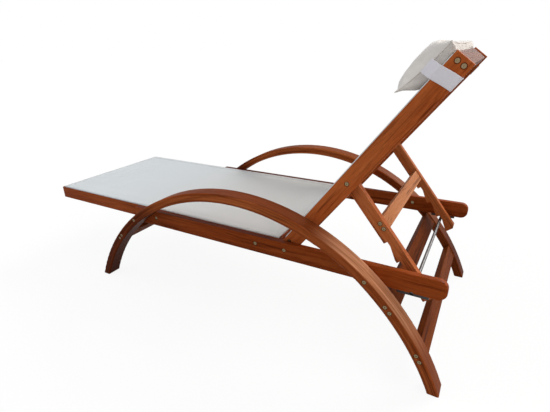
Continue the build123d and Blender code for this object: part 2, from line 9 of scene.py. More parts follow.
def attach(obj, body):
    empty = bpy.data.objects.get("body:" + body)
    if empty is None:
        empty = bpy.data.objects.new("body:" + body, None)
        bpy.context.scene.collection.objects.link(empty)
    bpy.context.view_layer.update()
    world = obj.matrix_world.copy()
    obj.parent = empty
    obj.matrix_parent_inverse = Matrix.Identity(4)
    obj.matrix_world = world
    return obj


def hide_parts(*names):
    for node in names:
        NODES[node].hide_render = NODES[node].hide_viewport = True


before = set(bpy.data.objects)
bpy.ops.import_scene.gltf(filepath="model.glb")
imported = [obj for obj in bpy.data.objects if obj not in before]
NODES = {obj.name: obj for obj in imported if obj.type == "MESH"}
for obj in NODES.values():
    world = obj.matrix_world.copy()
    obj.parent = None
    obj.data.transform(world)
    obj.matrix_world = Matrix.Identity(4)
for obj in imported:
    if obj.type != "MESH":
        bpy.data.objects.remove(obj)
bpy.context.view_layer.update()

# The chair's main places in metres, as the solids have them
FOOT_END = -0.811533
RAIL_TOP = 0.322
SEAT_LENGTH = 1.0995
SEAT_WIDTH = 0.560
PIVOT = Vector((1.127 + FOOT_END, 0, 0.297))
BACK = radians(52.524)
PROP = radians(-51.322)
BACK_FRONT = 0.0245
BACK_WIDTH = 0.557
BACK_LOW, BACK_HIGH = 0.013, 0.694

along = Vector((cos(BACK), 0, sin(BACK)))
outward = Vector((-sin(BACK), 0, cos(BACK)))
back_face = Matrix((
    (along.x, 0, outward.x, PIVOT.x + BACK_FRONT * outward.x),
    (0, 1, 0, 0),
    (along.z, 0, outward.z, PIVOT.z + BACK_FRONT * outward.z),
    (0, 0, 0, 1),
))
seat_face = Matrix.Translation((FOOT_END, 0, RAIL_TOP))

# Camera, with its focal length in pixels of the picture
PICTURE_WIDTH = 550
FOCAL_LENGTH = 382.68
SENSOR_WIDTH = 36


def make_camera():
    yaw, pitch, roll = radians(29.8), radians(22.55), radians(-1.22)
    forward = Vector((-sin(yaw) * cos(pitch), cos(yaw) * cos(pitch), -sin(pitch)))
    right = Vector((cos(yaw), sin(yaw), 0))
    up = right.cross(forward)
    image_right = right * cos(roll) + up * sin(roll)
    image_up = up * cos(roll) - right * sin(roll)
    place = Vector((0.81131, -1.21371, 0.87802))
    data = bpy.data.cameras.new("camera")
    data.sensor_width = SENSOR_WIDTH
    data.sensor_fit = "HORIZONTAL"
    data.lens = FOCAL_LENGTH / PICTURE_WIDTH * SENSOR_WIDTH
    data.clip_start = 0.02
    camera = bpy.data.objects.new("camera", data)
    columns = [image_right, image_up, -forward, place]
    camera.matrix_world = Matrix([[c[i] for c in columns] for i in range(3)] + [[0, 0, 0, 1]])
    bpy.context.scene.collection.objects.link(camera)
    bpy.context.scene.camera = camera


make_camera()


# Shader nodes
class Tree:
    """Adds and links the nodes of a material or of the world."""

    def __init__(self, owner):
        owner.use_nodes = True
        self.tree = owner.node_tree
        self.tree.nodes.clear()

    def add(self, kind, **values):
        node = self.tree.nodes.new(kind)
        for key, value in values.items():
            setattr(node, key, value)
        return node

    def link(self, source, target):
        self.tree.links.new(source, target)

    def put(self, value, socket):
        """Gives a socket a value, or the link where the value is a socket itself."""
        if isinstance(value, bpy.types.NodeSocket):
            self.link(value, socket)
        else:
            socket.default_value = value

    def math(self, operation, a, b=0.0):
        node = self.add("ShaderNodeMath", operation=operation)
        self.put(a, node.inputs[0])
        self.put(b, node.inputs[1])
        return node.outputs[0]

    def plus(self, a, b):
        return self.math("ADD", a, b)

    def minus(self, a, b):
        return self.math("SUBTRACT", a, b)

    def times(self, a, b):
        return self.math("MULTIPLY", a, b)

    def total(self, *shares):
        """Sum of values, each given with its weight."""
        result = None
        for value, weight in shares:
            share = self.times(value, weight)
            result = share if result is None else self.plus(result, share)
        return result

    def choose(self, share, a, b):
        """A number between a and b: a where the share is 0, b where it is 1."""
        return self.plus(a, self.times(self.minus(b, a), share))

    def vector(self, operation, a, b):
        node = self.add("ShaderNodeVectorMath", operation=operation)
        self.put(a, node.inputs[0])
        self.put(b, node.inputs[1])
        return node.outputs["Value" if operation == "DOT_PRODUCT" else "Vector"]

    def dot(self, a, b):
        return self.vector("DOT_PRODUCT", a, b)

    def combine(self, x, y, z):
        node = self.add("ShaderNodeCombineXYZ")
        for value, socket in zip((x, y, z), node.inputs):
            self.put(value, socket)
        return node.outputs[0]

    def split(self, vector):
        node = self.add("ShaderNodeSeparateXYZ")
        self.link(vector, node.inputs[0])
        return node.outputs

    def coordinates(self, name="Object"):
        return self.add("ShaderNodeTexCoord").outputs[name]

    def noise(self, vector, scale, detail=3.0, rough=0.5, distort=0.0):
        node = self.add("ShaderNodeTexNoise")
        self.put(vector, node.inputs["Vector"])
        node.inputs["Scale"].default_value = scale
        node.inputs["Detail"].default_value = detail
        node.inputs["Roughness"].default_value = rough
        node.inputs["Distortion"].default_value = distort
        return node.outputs["Fac"]

    def ramp(self, factor, stops):
        node = self.add("ShaderNodeValToRGB")
        elements = node.color_ramp.elements
        while len(elements) < len(stops):
            elements.new(0.5)
        for element, (position, colour) in zip(elements, stops):
            element.position = position
            element.color = (*colour, 1)
        self.put(factor, node.inputs[0])
        return node.outputs[0]

    def level(self, factor, low, high, to_low=0.0, to_high=1.0):
        """A soft step between two levels of the factor."""
        node = self.add("ShaderNodeMapRange", interpolation_type="SMOOTHSTEP")
        self.put(factor, node.inputs["Value"])
        node.inputs["From Min"].default_value = low
        node.inputs["From Max"].default_value = high
        node.inputs["To Min"].default_value = to_low
        node.inputs["To Max"].default_value = to_high
        return node.outputs[0]

    def mix(self, factor, a, b, blend="MIX"):
        """A colour between two others, each a socket or three numbers."""
        node = self.add("ShaderNodeMix", data_type="RGBA", blend_type=blend)
        self.put(factor, node.inputs["Factor"])
        for value, socket in ((a, node.inputs[6]), (b, node.inputs[7])):
            self.put((*value, 1) if isinstance(value, tuple) else value, socket)
        return node.outputs[2]

    def bump(self, height, distance, strength, normal=None):
        node = self.add("ShaderNodeBump")
        node.inputs["Strength"].default_value = strength
        node.inputs["Distance"].default_value = distance
        self.put(height, node.inputs["Height"])
        if normal is not None:
            self.link(normal, node.inputs["Normal"])
        return node.outputs[0]

    def glow(self, kind, colour, strength):
        """A shader that shines by itself."""
        node = self.add(kind)
        self.put(colour, node.inputs[0])
        self.put(strength, node.inputs[1])
        return node.outputs[0]

    def mix_shaders(self, factor, a, b):
        node = self.add("ShaderNodeMixShader")
        for value, socket in zip((factor, a, b), node.inputs):
            self.link(value, socket)
        return node.outputs[0]

    def seen_directly(self):
        """1 for rays of the camera, of reflections and through clear things, 0 for all others."""
        path = self.add("ShaderNodeLightPath")
        seen = self.math("MAXIMUM", path.outputs["Is Camera Ray"], path.outputs["Is Glossy Ray"])
        return self.math("MAXIMUM", seen, path.outputs["Is Transmission Ray"])


class Surface(Tree):
    """A material around one principled shader."""

    def __init__(self, name):
        self.material = bpy.data.materials.new(name)
        super().__init__(self.material)
        self.shader = self.add("ShaderNodeBsdfPrincipled")
        self.output = self.add("ShaderNodeOutputMaterial")
        self.link(self.shader.outputs[0], self.output.inputs[0])

    def finish(self, colour, rough, normal):
        """Links what all materials of the chair have, and gives the material."""
        for name, source in (("Base Color", colour), ("Roughness", rough), ("Normal", normal)):
            self.link(source, self.shader.inputs[name])
        return self.material


def scaled(colour, share):
    return tuple(part * share for part in colour)


# Wood
def straight_grain(axis):
    """Places along and across a straight piece whose grain runs along axis."""
    axis = Vector(axis).normalized()
    first = Vector((0, 1, 0)) if abs(axis.y) < 0.5 else Vector((1, 0, 0))
    second = axis.cross(first)

    def places(tree):
        point = tree.coordinates()
        values = [tree.dot(point, tuple(way)) for way in (axis, first, second)]
        end = tree.math("ABSOLUTE", tree.dot(tree.coordinates("Normal"), tuple(axis)))
        return values, end

    return places


# Arcs of the bent arms: the turn from the apex, in degrees, where each leaves the top one, and its radius
ARM_TOP, ARM_APEX = 0.4675, 0.966
ARCS = {"front": (-24.0, 0.8085), "top": (0.0, 0.681), "rear": (43.0, 0.773)}
FOOT_FACE = 0.0005


def arc_centre(name):
    turn, radius = radians(ARCS[name][0]), ARCS[name][1]
    shift = ARCS["top"][1] - radius
    return ARM_APEX + FOOT_END + shift * sin(turn), ARM_TOP - ARCS["top"][1] + shift * cos(turn), radius


def bent_grain(tree):
    """Places along the bent arm, across its width and down from its outer curve."""
    x, y, z = tree.split(tree.coordinates())
    found = {}
    for name in ARCS:
        centre_x, centre_z, radius = arc_centre(name)
        from_x = tree.minus(x, centre_x)
        from_z = tree.minus(z, centre_z)
        length = tree.math("SQRT", tree.plus(tree.times(from_x, from_x), tree.times(from_z, from_z)))
        found[name] = (tree.minus(radius, length), tree.math("ARCTAN2", from_x, from_z), radius)
    depth, turn, radius = found["top"]
    reach = tree.times(turn, radius)
    for name, test in (("front", "LESS_THAN"), ("rear", "GREATER_THAN")):
        limit = radians(ARCS[name][0])
        beyond = tree.math(test, turn, limit)
        other_depth, other_turn, other_radius = found[name]
        other_reach = tree.plus(tree.times(tree.minus(other_turn, limit), other_radius), limit * radius)
        depth = tree.choose(beyond, depth, other_depth)
        reach = tree.choose(beyond, reach, other_reach)
    end = tree.math("LESS_THAN", z, FOOT_FACE)
    return (reach, y, depth), end


# Dark, middle and light tone of each kind of wood; the board tone is partly the boards' own and partly
# painted shade under the rails, and the top bar takes it as painted shade on its lit top face
TONES = {
    "arm": ((0.120, 0.021, 0.0045), (0.330, 0.072, 0.0170), (0.480, 0.135, 0.0420)),
    "rail": ((0.105, 0.0155, 0.0028), (0.275, 0.051, 0.0090), (0.400, 0.094, 0.0230)),
    "back": ((0.150, 0.023, 0.0045), (0.420, 0.090, 0.0200), (0.570, 0.155, 0.0430)),
    "prop": ((0.150, 0.027, 0.0060), (0.420, 0.103, 0.0265), (0.570, 0.190, 0.0700)),
    "slat": ((0.170, 0.055, 0.0200), (0.475, 0.180, 0.0750), (0.610, 0.270, 0.1400)),
    "board": ((0.050, 0.0080, 0.0012), (0.134, 0.027, 0.0036), (0.210, 0.050, 0.0085)),
}
# The dark brown that painted shade multiplies into the wood
SHADE_COLOUR = (0.24, 0.15, 0.11)
# Two tones of the painted highlight on the arms' outer curve
HIGHLIGHT_TONES = ((0.46, 0.180, 0.082), (0.84, 0.41, 0.230))
WOOD_TINT = (1.0, 0.58, 0.34, 1)
LAYER = 0.0074
EDGE_RADIUS = 0.0022


def add_layers(tree, colour, height, reach, depth, broad, streak, tones, seed, highlight_share):
    """The glued layers of a bent arm, each with its own tone, and a painted highlight on the outer face of
    the outer one.
    """
    dark, _, light = tones
    layer = tree.math("DIVIDE", depth, LAYER)
    own = tree.combine(tree.times(reach, 0.9), tree.math("FLOOR", layer), float(seed))
    own = tree.noise(own, 1.7, 1.0)
    colour = tree.mix(tree.level(own, 0.42, 0.62, 0.0, 0.34), colour, light)
    colour = tree.mix(tree.level(own, 0.58, 0.38, 0.0, 0.40), colour, dark)
    glue = tree.math("ABSOLUTE", tree.minus(tree.math("FRACT", tree.plus(layer, 0.5)), 0.5))
    glue = tree.level(glue, 0.055, 0.02)
    colour = tree.mix(tree.times(glue, 0.55), colour, scaled(dark, 0.6))
    # Painted highlight on the outer face, along the curve behind the apex, where light from the head end
    # falls
    highlit = tree.times(tree.level(depth, 0.0030, 0.0004), tree.level(reach, 0.26, 0.43))
    highlit = tree.times(highlit, tree.level(reach, 0.77, 0.50, 0.06, 1.0))
    highlit = tree.times(highlit, tree.level(broad, 0.25, 0.60, highlight_share * 0.75, highlight_share))
    colour = tree.mix(highlit, colour, tree.mix(tree.level(streak, 0.33, 0.67), *HIGHLIGHT_TONES))
    return colour, tree.minus(height, tree.times(glue, 1.2))


def wood(
    name, places, tones, seed, laminated=False, gloss=0.05, wear=0.10, shades=(), highlight_share=0.0, facing=(0, 0, 1),
):
    """Oiled hardwood, in glued layers where it is laminated.

    Shades are stretches of painted shade, each given by where it starts and where it is full along the grain,
    its amount, and whether it is only on faces that look the way of facing.
    """
    tree = Surface(name)
    (reach, across, depth), end = places(tree)
    dark, middle, light = TONES[tones]
    shift = (seed * 3.17, seed * 1.31, seed * 2.23)

    def figure(stretch, fine, detail, rough, distort=0.0):
        """Noise drawn out along the grain."""
        point = tree.combine(tree.times(reach, stretch), tree.times(across, fine), tree.times(depth, fine))
        return tree.noise(tree.vector("ADD", point, shift), 1.0, detail, rough, distort)

    broad = figure(2.2, 14, 3.0, 0.55)
    wander = figure(3.0, 10, 2.0, 0.5)
    rings = tree.math("SINE", tree.times(tree.total((depth, 70.0), (wander, 9.0), (across, 35.0)), 2 * pi))
    rings = tree.times(tree.plus(rings, 1.0), 0.5)
    streak = figure(5.0, 150, 4.0, 0.6)
    fibre = figure(26.0, 900, 2.0, 0.5)
    pores = tree.level(figure(48.0, 1500, 1.0, 0.4), 0.60, 0.68)

    tone = tree.minus(tree.total((broad, 0.75), (streak, 0.45), (rings, 0.09), (fibre, 0.16)), 0.23)
    colour = tree.ramp(tone, [(0.16, dark), (0.46, middle), (0.80, light)])
    veins = tree.level(figure(3.2, 95, 3.0, 0.62, 0.5), 0.555, 0.64)
    colour = tree.mix(tree.times(veins, 0.72), colour, scaled(dark, 0.8))
    flame = tree.level(figure(2.6, 42, 2.0, 0.5, 0.3), 0.54, 0.70)
    colour = tree.mix(tree.times(flame, 0.40), colour, light)
    colour = tree.mix(tree.times(pores, 0.35), colour, scaled(dark, 0.45))
    height = tree.total((streak, 0.7), (fibre, 0.3), (pores, -0.8))
    if laminated:
        colour, height = add_layers(
            tree, colour, height, reach, depth, broad, streak, TONES[tones], seed, highlight_share,
        )

    # End grain
    speckle = figure(400, 700, 2.0, 0.6)
    end_colour = tree.ramp(speckle, [(0.3, scaled(dark, 0.8)), (0.7, middle)])
    colour = tree.mix(tree.level(end, 0.75, 0.95, 0.0, 0.7), colour, end_colour)

    # Worn edges
    rounded = tree.add("ShaderNodeBevel", samples=4)
    rounded.inputs["Radius"].default_value = EDGE_RADIUS
    geometry = tree.add("ShaderNodeNewGeometry")
    edge = tree.level(tree.dot(rounded.outputs[0], geometry.outputs["Normal"]), 0.995, 0.90)
    worn = tree.times(edge, tree.level(figure(18, 60, 3.0, 0.6), 0.40, 0.62, 0.25, 0.8))
    colour = tree.mix(tree.times(worn, wear), colour, scaled(light, 1.3))

    # Painted shade: stretches darkened by multiplying in a dark brown
    faces_so = tree.level(tree.dot(tree.coordinates("Normal"), facing), 0.80, 0.97)
    for start, stop, amount, only_facing in shades:
        share = tree.level(reach, start, stop, 0.0, amount)
        if only_facing:
            share = tree.times(share, faces_so)
        colour = tree.mix(share, colour, SHADE_COLOUR, "MULTIPLY")

    rough = tree.plus(tree.plus(tree.times(streak, 0.20), 0.36), tree.times(pores, 0.15))
    tree.shader.inputs["Specular IOR Level"].default_value = gloss
    tree.shader.inputs["Specular Tint"].default_value = WOOD_TINT
    return tree.finish(colour, rough, tree.bump(height, 0.00025, 0.55))


# Cloth, metal and plastic
def cloth(name, base, pitch, contrast, axes, sheen=0.25, creases=0.0, shade_span=None):
    """Woven cloth with soft differences of tone; used gives two places along x and the tint that comes in
    between them, a painted shade, warmer and darker, over the rear of the seat where the back shades it."""
    tree = Surface(name)
    point = tree.coordinates()
    u, v = [tree.dot(point, axis) for axis in axes]
    jitter = tree.times(tree.noise(point, 260.0, 2.0), 0.8)
    a, b = [tree.math("SINE", tree.plus(tree.times(way, 2 * pi / pitch), jitter)) for way in (u, v)]
    weave = tree.plus(tree.times(tree.times(a, b), 0.25), 0.5)
    ribs = tree.times(tree.plus(tree.math("ABSOLUTE", a), tree.math("ABSOLUTE", b)), 0.25)
    slub = tree.noise(tree.combine(tree.times(u, 30.0), tree.times(v, 600.0), 0.0), 1.0, 2.0)
    cross_slub = tree.noise(tree.combine(tree.times(u, 600.0), tree.times(v, 30.0), 3.0), 1.0, 2.0)
    patch = tree.noise(point, 7.0, 3.0, 0.5)
    value = tree.total((weave, 0.55), (ribs, 0.45), (tree.plus(slub, cross_slub), 0.22), (patch, 0.22))
    low = scaled(base, 1 - contrast)
    high = tuple(min(0.95, part * (1 + contrast * 0.6)) for part in base)
    colour = tree.ramp(value, [(0.35, low), (1.0, high)])
    # Painted shade: a warmer, darker tint over the rear of the seat, where the back shades it
    if shade_span:
        start, stop, tint = shade_span
        wander = tree.plus(tree.dot(point, (1, 0, 0)), tree.times(patch, 0.16))
        colour = tree.mix(tree.level(wander, start, stop), colour, tint, "MULTIPLY")
    normal = None
    if creases:
        normal = tree.bump(tree.noise(point, 24.0, 4.0, 0.55, 0.6), creases, 0.5)
    height = tree.plus(weave, tree.times(slub, 0.3))
    tree.shader.inputs["Sheen Weight"].default_value = sheen
    tree.shader.inputs["Sheen Roughness"].default_value = 0.45
    tree.shader.inputs["Specular IOR Level"].default_value = 0.25
    rough = tree.level(slub, 0.2, 0.8, 0.78, 0.92)
    return tree.finish(colour, rough, tree.bump(height, pitch * 0.22, 0.5, normal))


def metal(name, base, rough, metallic=1.0, brushed=(1, 1, 1), spots=None):
    tree = Surface(name)
    point = tree.coordinates()
    lines = tree.noise(tree.vector("MULTIPLY", point, brushed), 900.0, 2.0)
    soil = tree.noise(point, 260.0, 3.0, 0.6)
    colour = tree.ramp(soil, [(0.32, scaled(base, 0.72)), (0.62, base)])
    if spots:
        colour = tree.mix(tree.level(tree.noise(point, 520.0, 2.0), 0.60, 0.70), colour, spots)
    tree.shader.inputs["Metallic"].default_value = metallic
    uneven = tree.level(lines, 0.2, 0.8, rough - 0.08, rough + 0.12)
    return tree.finish(colour, uneven, tree.bump(lines, 0.00006, 0.4))


def plastic(name, base, rough):
    tree = Surface(name)
    grit = tree.noise(tree.coordinates(), 1400.0, 2.0)
    colour = tree.ramp(grit, [(0.3, scaled(base, 0.85)), (0.7, base)])
    uneven = tree.level(grit, 0.2, 0.8, rough - 0.05, rough + 0.1)
    return tree.finish(colour, uneven, tree.bump(grit, 0.00005, 0.4))


def dress(node, material):
    obj = NODES[node]
    obj.data.materials.clear()
    obj.data.materials.append(material)


# Painted shade on the wood; the first two places lie before every piece, so that shade is full all along
EVERYWHERE = (-3.0, -2.9)
# Painted shadow line where the slings' edges meet the frame: on faces that look up, on the back rails on
# those that look out, and on the side rails' tops towards the foot
SHADE_BY_SLING_EDGE = [(*EVERYWHERE, 0.95, True)]
SHADE_BESIDE_SEAT = [(0.40, 0.25, 0.95, True)]
# Painted shade over the lower front legs of both arms, and over the far arm's lower rear leg
SHADE_ON_FRONT_LEG = (-0.28, -0.46, 0.85, False)
SHADE_ON_REAR_LEG = (0.50, 0.75, 0.75, False)

back_axis = (cos(BACK), 0, sin(BACK))
prop_axis = (cos(PROP), 0, sin(PROP))
level_grain = straight_grain((1, 0, 0))
cross_grain = straight_grain((0, 1, 0))
seed = 1
for side in ("left", "right"):
    # Painted shade on the arms' legs, and a painted highlight on their rear curves, stronger on the near arm
    dress(f"arm_{side}", wood(
        f"arm_wood_{side}", bent_grain, "arm", seed, laminated=True, gloss=0.02, wear=0.40,
        shades=[SHADE_ON_FRONT_LEG] if side == "left" else [SHADE_ON_FRONT_LEG, SHADE_ON_REAR_LEG],
        highlight_share=0.85 if side == "left" else 0.25,
    ))
    dress(f"side_rail_{side}", wood(
        f"side_rail_wood_{side}", level_grain, "rail", seed + 1, shades=SHADE_BESIDE_SEAT,
    ))
    dress(f"seat_rail_{side}", wood(
        f"seat_rail_wood_{side}", level_grain, "rail", seed + 2, shades=SHADE_BY_SLING_EDGE,
    ))
    dress(f"back_rail_{side}", wood(
        f"back_rail_wood_{side}", straight_grain(back_axis), "back", seed + 3, shades=SHADE_BY_SLING_EDGE,
        facing=tuple(outward),
    ))
    dress(f"prop_leg_{side}", wood(
        f"prop_leg_wood_{side}", straight_grain(prop_axis), "prop", seed + 4, wear=0.42,
    ))
    seed += 6
for node, tones in (
    ("foot_bar", "rail"), ("seat_rear_bar", "rail"), ("front_crossbar", "board"),
    ("upper_rear_crossbar", "board"), ("lower_rear_crossbar", "board"),
    ("back_top_bar", "board"), ("back_low_bar", "back"), ("prop_slat", "slat"),
):
    # The foot bar takes the painted shadow line along the seat's edge
    shades = SHADE_BY_SLING_EDGE if node == "foot_bar" else ()
    gloss = 0.06 if node == "back_top_bar" else 0.02
    dress(node, wood(f"{node}_wood", cross_grain, tones, seed, gloss=gloss, wear=0.20, shades=shades))
    seed += 1

bolt_metal = metal("bolt_metal", (0.29, 0.215, 0.125), 0.34, spots=(0.11, 0.07, 0.04))
for node in (
    "arm_bolts", "arm_nuts", "crossbar_bolts", "crossbar_barrel_nuts", "seat_frame_bolts", "seat_frame_nuts",
    "back_hinge_bolts", "back_hinge_nuts", "back_hinge_washers", "prop_hinge_bolts", "prop_hinge_nuts",
    "prop_hinge_washers", "back_bar_bolts", "prop_slat_bolts",
):
    dress(node, bolt_metal)
rod_metal = metal("rod_metal", (0.12, 0.115, 0.115), 0.40, brushed=(1, 0.05, 1), spots=(0.15, 0.12, 0.10))
dress("support_rod", rod_metal)
strap_black = metal("strap_black", (0.020, 0.020, 0.021), 0.45, metallic=0.0)
for node in ("rod_strap_left", "rod_strap_right", "rod_strap_screws"):
    dress(node, strap_black)
# The cords are nearly black, as a spline is, and also stand as a painted shadow line along the slings' edges
dark_cord_and_shadow = plastic("dark_cord_and_shadow", (0.022, 0.014, 0.010), 0.55)
for node in ("seat_sling_cord", "back_sling_cord"):
    dress(node, dark_cord_and_shadow)


# Meshes
def shade_smooth(mesh):
    mesh.polygons.foreach_set("use_smooth", [True] * len(mesh.polygons))


def new_object(name, vertices, faces, material, smooth=True):
    mesh = bpy.data.meshes.new(name)
    mesh.from_pydata([tuple(v) for v in vertices], [], faces)
    mesh.update()
    obj = bpy.data.objects.new(name, mesh)
    bpy.context.scene.collection.objects.link(obj)
    mesh.materials.append(material)
    if smooth:
        shade_smooth(mesh)
    return obj


def tidy(obj, distance=2e-5):
    """Merges vertices that lie on each other and turns all faces outwards."""
    work = bmesh.new()
    work.from_mesh(obj.data)
    bmesh.ops.remove_doubles(work, verts=work.verts, dist=distance)
    bmesh.ops.dissolve_degenerate(work, dist=1e-6, edges=work.edges)
    bmesh.ops.recalc_face_normals(work, faces=work.faces)
    work.to_mesh(obj.data)
    work.free()


def thicken(obj, thickness):
    modifier = obj.modifiers.new("thick", "SOLIDIFY")
    modifier.thickness = thickness
    modifier.offset = 0


def apply_all(obj):
    """Puts the result of the object's modifiers in its mesh."""
    graph = bpy.context.evaluated_depsgraph_get()
    graph.update()
    made = bpy.data.meshes.new_from_object(obj.evaluated_get(graph))
    obj.modifiers.clear()
    obj.data = made


def grid_faces(rows, columns):
    return [
        (r * columns + c, r * columns + c + 1, (r + 1) * columns + c + 1, (r + 1) * columns + c)
        for r in range(rows - 1) for c in range(columns - 1)
    ]


def smoothstep(low, high, value):
    t = min(1.0, max(0.0, (value - low) / (high - low)))
    return t * t * (3 - 2 * t)


# Slings: levels above the frame's face and insets from the frame's outer edge
CLOTH_THICKNESS = 0.0010
SHEET_EDGE = 0.0061
SHEET_LEVEL = 0.0009
TURN_RADIUS = 0.0013
HEM = 0.0275
HEM_RAISE = 0.0015
SEAM_INSET = 0.0245
FREE_FROM, FREE_BY = 0.022, 0.10
BORDER = 0.045

# Rows of points of a sling: up its tongue, over the turn in degrees, and across the frame to the border
TONGUE_LEVELS = (-0.0064, -0.0045, -0.0025, SHEET_LEVEL - TURN_RADIUS)
TURN_STEPS = (22.5, 45, 67.5, 90)
FRAME_INSETS = (0.010, 0.014, 0.018, FREE_FROM, HEM - 0.0018, HEM - 0.0006, HEM + 0.0004, 0.031, 0.037)
SPACING_ALONG, SPACING_ACROSS = 0.005, 0.010


def sheet_lines(length, spacing):
    """Places along one side of a sling, each with its drop: up the tongue, over its turn and across."""
    half = [(SHEET_EDGE, SHEET_LEVEL - level) for level in TONGUE_LEVELS]
    for step in TURN_STEPS:
        turn = radians(step)
        half.append((SHEET_EDGE + TURN_RADIUS * (1 - cos(turn)), TURN_RADIUS * (1 - sin(turn))))
    half += [(inset, 0.0) for inset in FRAME_INSETS]
    middle = length - 2 * BORDER
    count = max(2, round(middle / spacing))
    inner = [(BORDER + middle * i / count, 0.0) for i in range(count + 1)]
    return half + inner + [(length - place, drop) for place, drop in reversed(half)]


def sling(name, place, low, high, width, sag, material, ripples, body, node):
    """A taut sheet over a frame: hems on the frame, tongue in the groove, a little sag between."""
    length = high - low
    rows = sheet_lines(length, SPACING_ALONG)
    columns = sheet_lines(width, SPACING_ACROSS)
    vertices = []
    for x, drop_x in rows:
        for y, drop_y in columns:
            vertices.append((x, y - width / 2, SHEET_LEVEL - max(drop_x, drop_y)))
    obj = new_object(name, vertices, grid_faces(len(rows), len(columns)), material)
    tidy(obj)
    thicken(obj, CLOTH_THICKNESS)
    apply_all(obj)
    for vertex in obj.data.vertices:
        x, y, z = vertex.co
        inset = min(x, length - x, width / 2 - abs(y))
        if z > SHEET_LEVEL:
            hem = smoothstep(0.0068, 0.0095, inset) * (1 - smoothstep(HEM - 0.0016, HEM, inset))
            z += HEM_RAISE * hem
        if inset > FREE_FROM:
            free = smoothstep(FREE_FROM, FREE_BY, inset)
            u = (x / length) * 2 - 1
            v = y / width * 2
            z -= sag * free * (1 - u ** 4) * (1 - v * v)
            z += ripples(x, y) * free
        vertex.co = (low + x, y, z)
    obj.data.transform(place)
    shade_smooth(obj.data)
    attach(obj, body)
    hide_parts(node)


# Folds at the foot end: place along the seat, height, and where they start and stop across it
SEAT_FOLDS = ((0.085, 0.0030, -0.20, 0.24), (0.128, 0.0026, -0.10, 0.20), (0.205, 0.0013, -0.22, 0.05))
FOLD_WIDTH = 0.0065
FOLD_END = 0.08


def seat_ripples(x, y):
    value = 0.00025 * noise.noise(Vector((x * 9, y * 2.2, 1.7)))
    for place, tall, start, stop in SEAT_FOLDS:
        bend = place + 0.006 * noise.noise(Vector((y * 6, place * 40, 0)))
        across = smoothstep(start, start + FOLD_END, y) * (1 - smoothstep(stop - FOLD_END, stop, y))
        value += tall * math.exp(-(((x - bend) / FOLD_WIDTH) ** 2)) * across
    return value + 0.0006 * noise.noise(Vector((x * 2.6, y * 5.0, 4.1)))


def back_ripples(x, y):
    return 0.0006 * noise.noise(Vector((x * 3.1, y * 5.0, 9.3)))


seat_axes = ((1, 0, 0), (0, 1, 0))
back_axes = (back_axis, (0, 1, 0))
# The seat's cloth takes painted shade towards its rear
seat_fabric = cloth(
    "seat_fabric", (0.545, 0.575, 0.605), 0.0011, 0.10, seat_axes, shade_span=(-0.55, 0.25, (0.97, 0.89, 0.82)),
)
# The back's cloth is the same as the seat's, made lighter as a painted highlight on the sling's edge
lightened_back_fabric = cloth("lightened_back_fabric", (0.68, 0.675, 0.665), 0.0011, 0.10, back_axes)
sling(
    "seat_cloth", seat_face, 0.0, SEAT_LENGTH, SEAT_WIDTH, 0.005,
    seat_fabric, seat_ripples, "base", "seat_sling",
)
sling(
    "back_cloth", back_face, BACK_LOW, BACK_HIGH, BACK_WIDTH, 0.004,
    lightened_back_fabric, back_ripples, "back", "back_sling",
)

# Stitches: their size, and the rings of one thread as reach, width and lift
STITCH_SPACING = 0.0052
STITCH_LENGTH = 0.0034
THREAD_RADIUS = 0.00032
THREAD_SIDES = 6
THREAD_RINGS = ((-0.5, 0.35, -0.6), (-0.3, 0.9, 0.1), (0, 1.0, 0.35), (0.3, 0.9, 0.1), (0.5, 0.35, -0.6))


def add_stitch(vertices, faces, centre, direction, normal):
    """One short thread that lies along direction."""
    sideways = direction.cross(normal).normalized()
    base = len(vertices)
    for reach, swell, lift in THREAD_RINGS:
        for turn in range(THREAD_SIDES):
            angle = turn * 2 * pi / THREAD_SIDES
            offset = sideways * cos(angle) * THREAD_RADIUS * swell
            offset += normal * (sin(angle) * swell + lift) * THREAD_RADIUS
            vertices.append(centre + direction * reach * STITCH_LENGTH + offset)
    for ring in range(len(THREAD_RINGS) - 1):
        for turn in range(THREAD_SIDES):
            p = base + ring * THREAD_SIDES + turn
            q = base + ring * THREAD_SIDES + (turn + 1) % THREAD_SIDES
            faces.append((p, q, q + THREAD_SIDES, p + THREAD_SIDES))
    last = base + (len(THREAD_RINGS) - 1) * THREAD_SIDES
    faces.append(tuple(base + t for t in reversed(range(THREAD_SIDES))))
    faces.append(tuple(last + t for t in range(THREAD_SIDES)))


def stitches(name, line, normal, material, body):
    """Short threads laid along a line of points."""
    vertices, faces = [], []
    travelled, due = 0.0, STITCH_SPACING / 2
    for a, b in zip(line, line[1:]):
        step = (b - a).length
        while due < travelled + step and step > 1e-9:
            centre = a.lerp(b, (due - travelled) / step)
            add_stitch(vertices, faces, centre, (b - a).normalized(), normal)
            due += STITCH_SPACING
        travelled += step
    obj = new_object(name, vertices, faces, material)
    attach(obj, body)


def hem_stitches(name, place, low, high, width, material, body):
    """The seam of a sling's hem, all round."""
    length = high - low
    far_x, far_y = length - SEAM_INSET, width / 2 - SEAM_INSET
    corners = [(SEAM_INSET, -far_y), (far_x, -far_y), (far_x, far_y), (SEAM_INSET, far_y)]
    level = SHEET_LEVEL + CLOTH_THICKNESS / 2 + HEM_RAISE
    line = []
    count = 40
    for (xa, ya), (xb, yb) in zip(corners, corners[1:] + corners[:1]):
        for i in range(count):
            t = i / count
            line.append(place @ Vector((low + xa + (xb - xa) * t, ya + (yb - ya) * t, level)))
    line.append(line[0])
    normal = (place.to_3x3() @ Vector((0, 0, 1))).normalized()
    stitches(name, line, normal, material, body)


thread = plastic("thread_white", (0.62, 0.62, 0.60), 0.6)
hem_stitches("seat_stitches", seat_face, 0.0, SEAT_LENGTH, SEAT_WIDTH, thread, "base")
hem_stitches("back_stitches", back_face, BACK_LOW, BACK_HIGH, BACK_WIDTH, thread, "back")

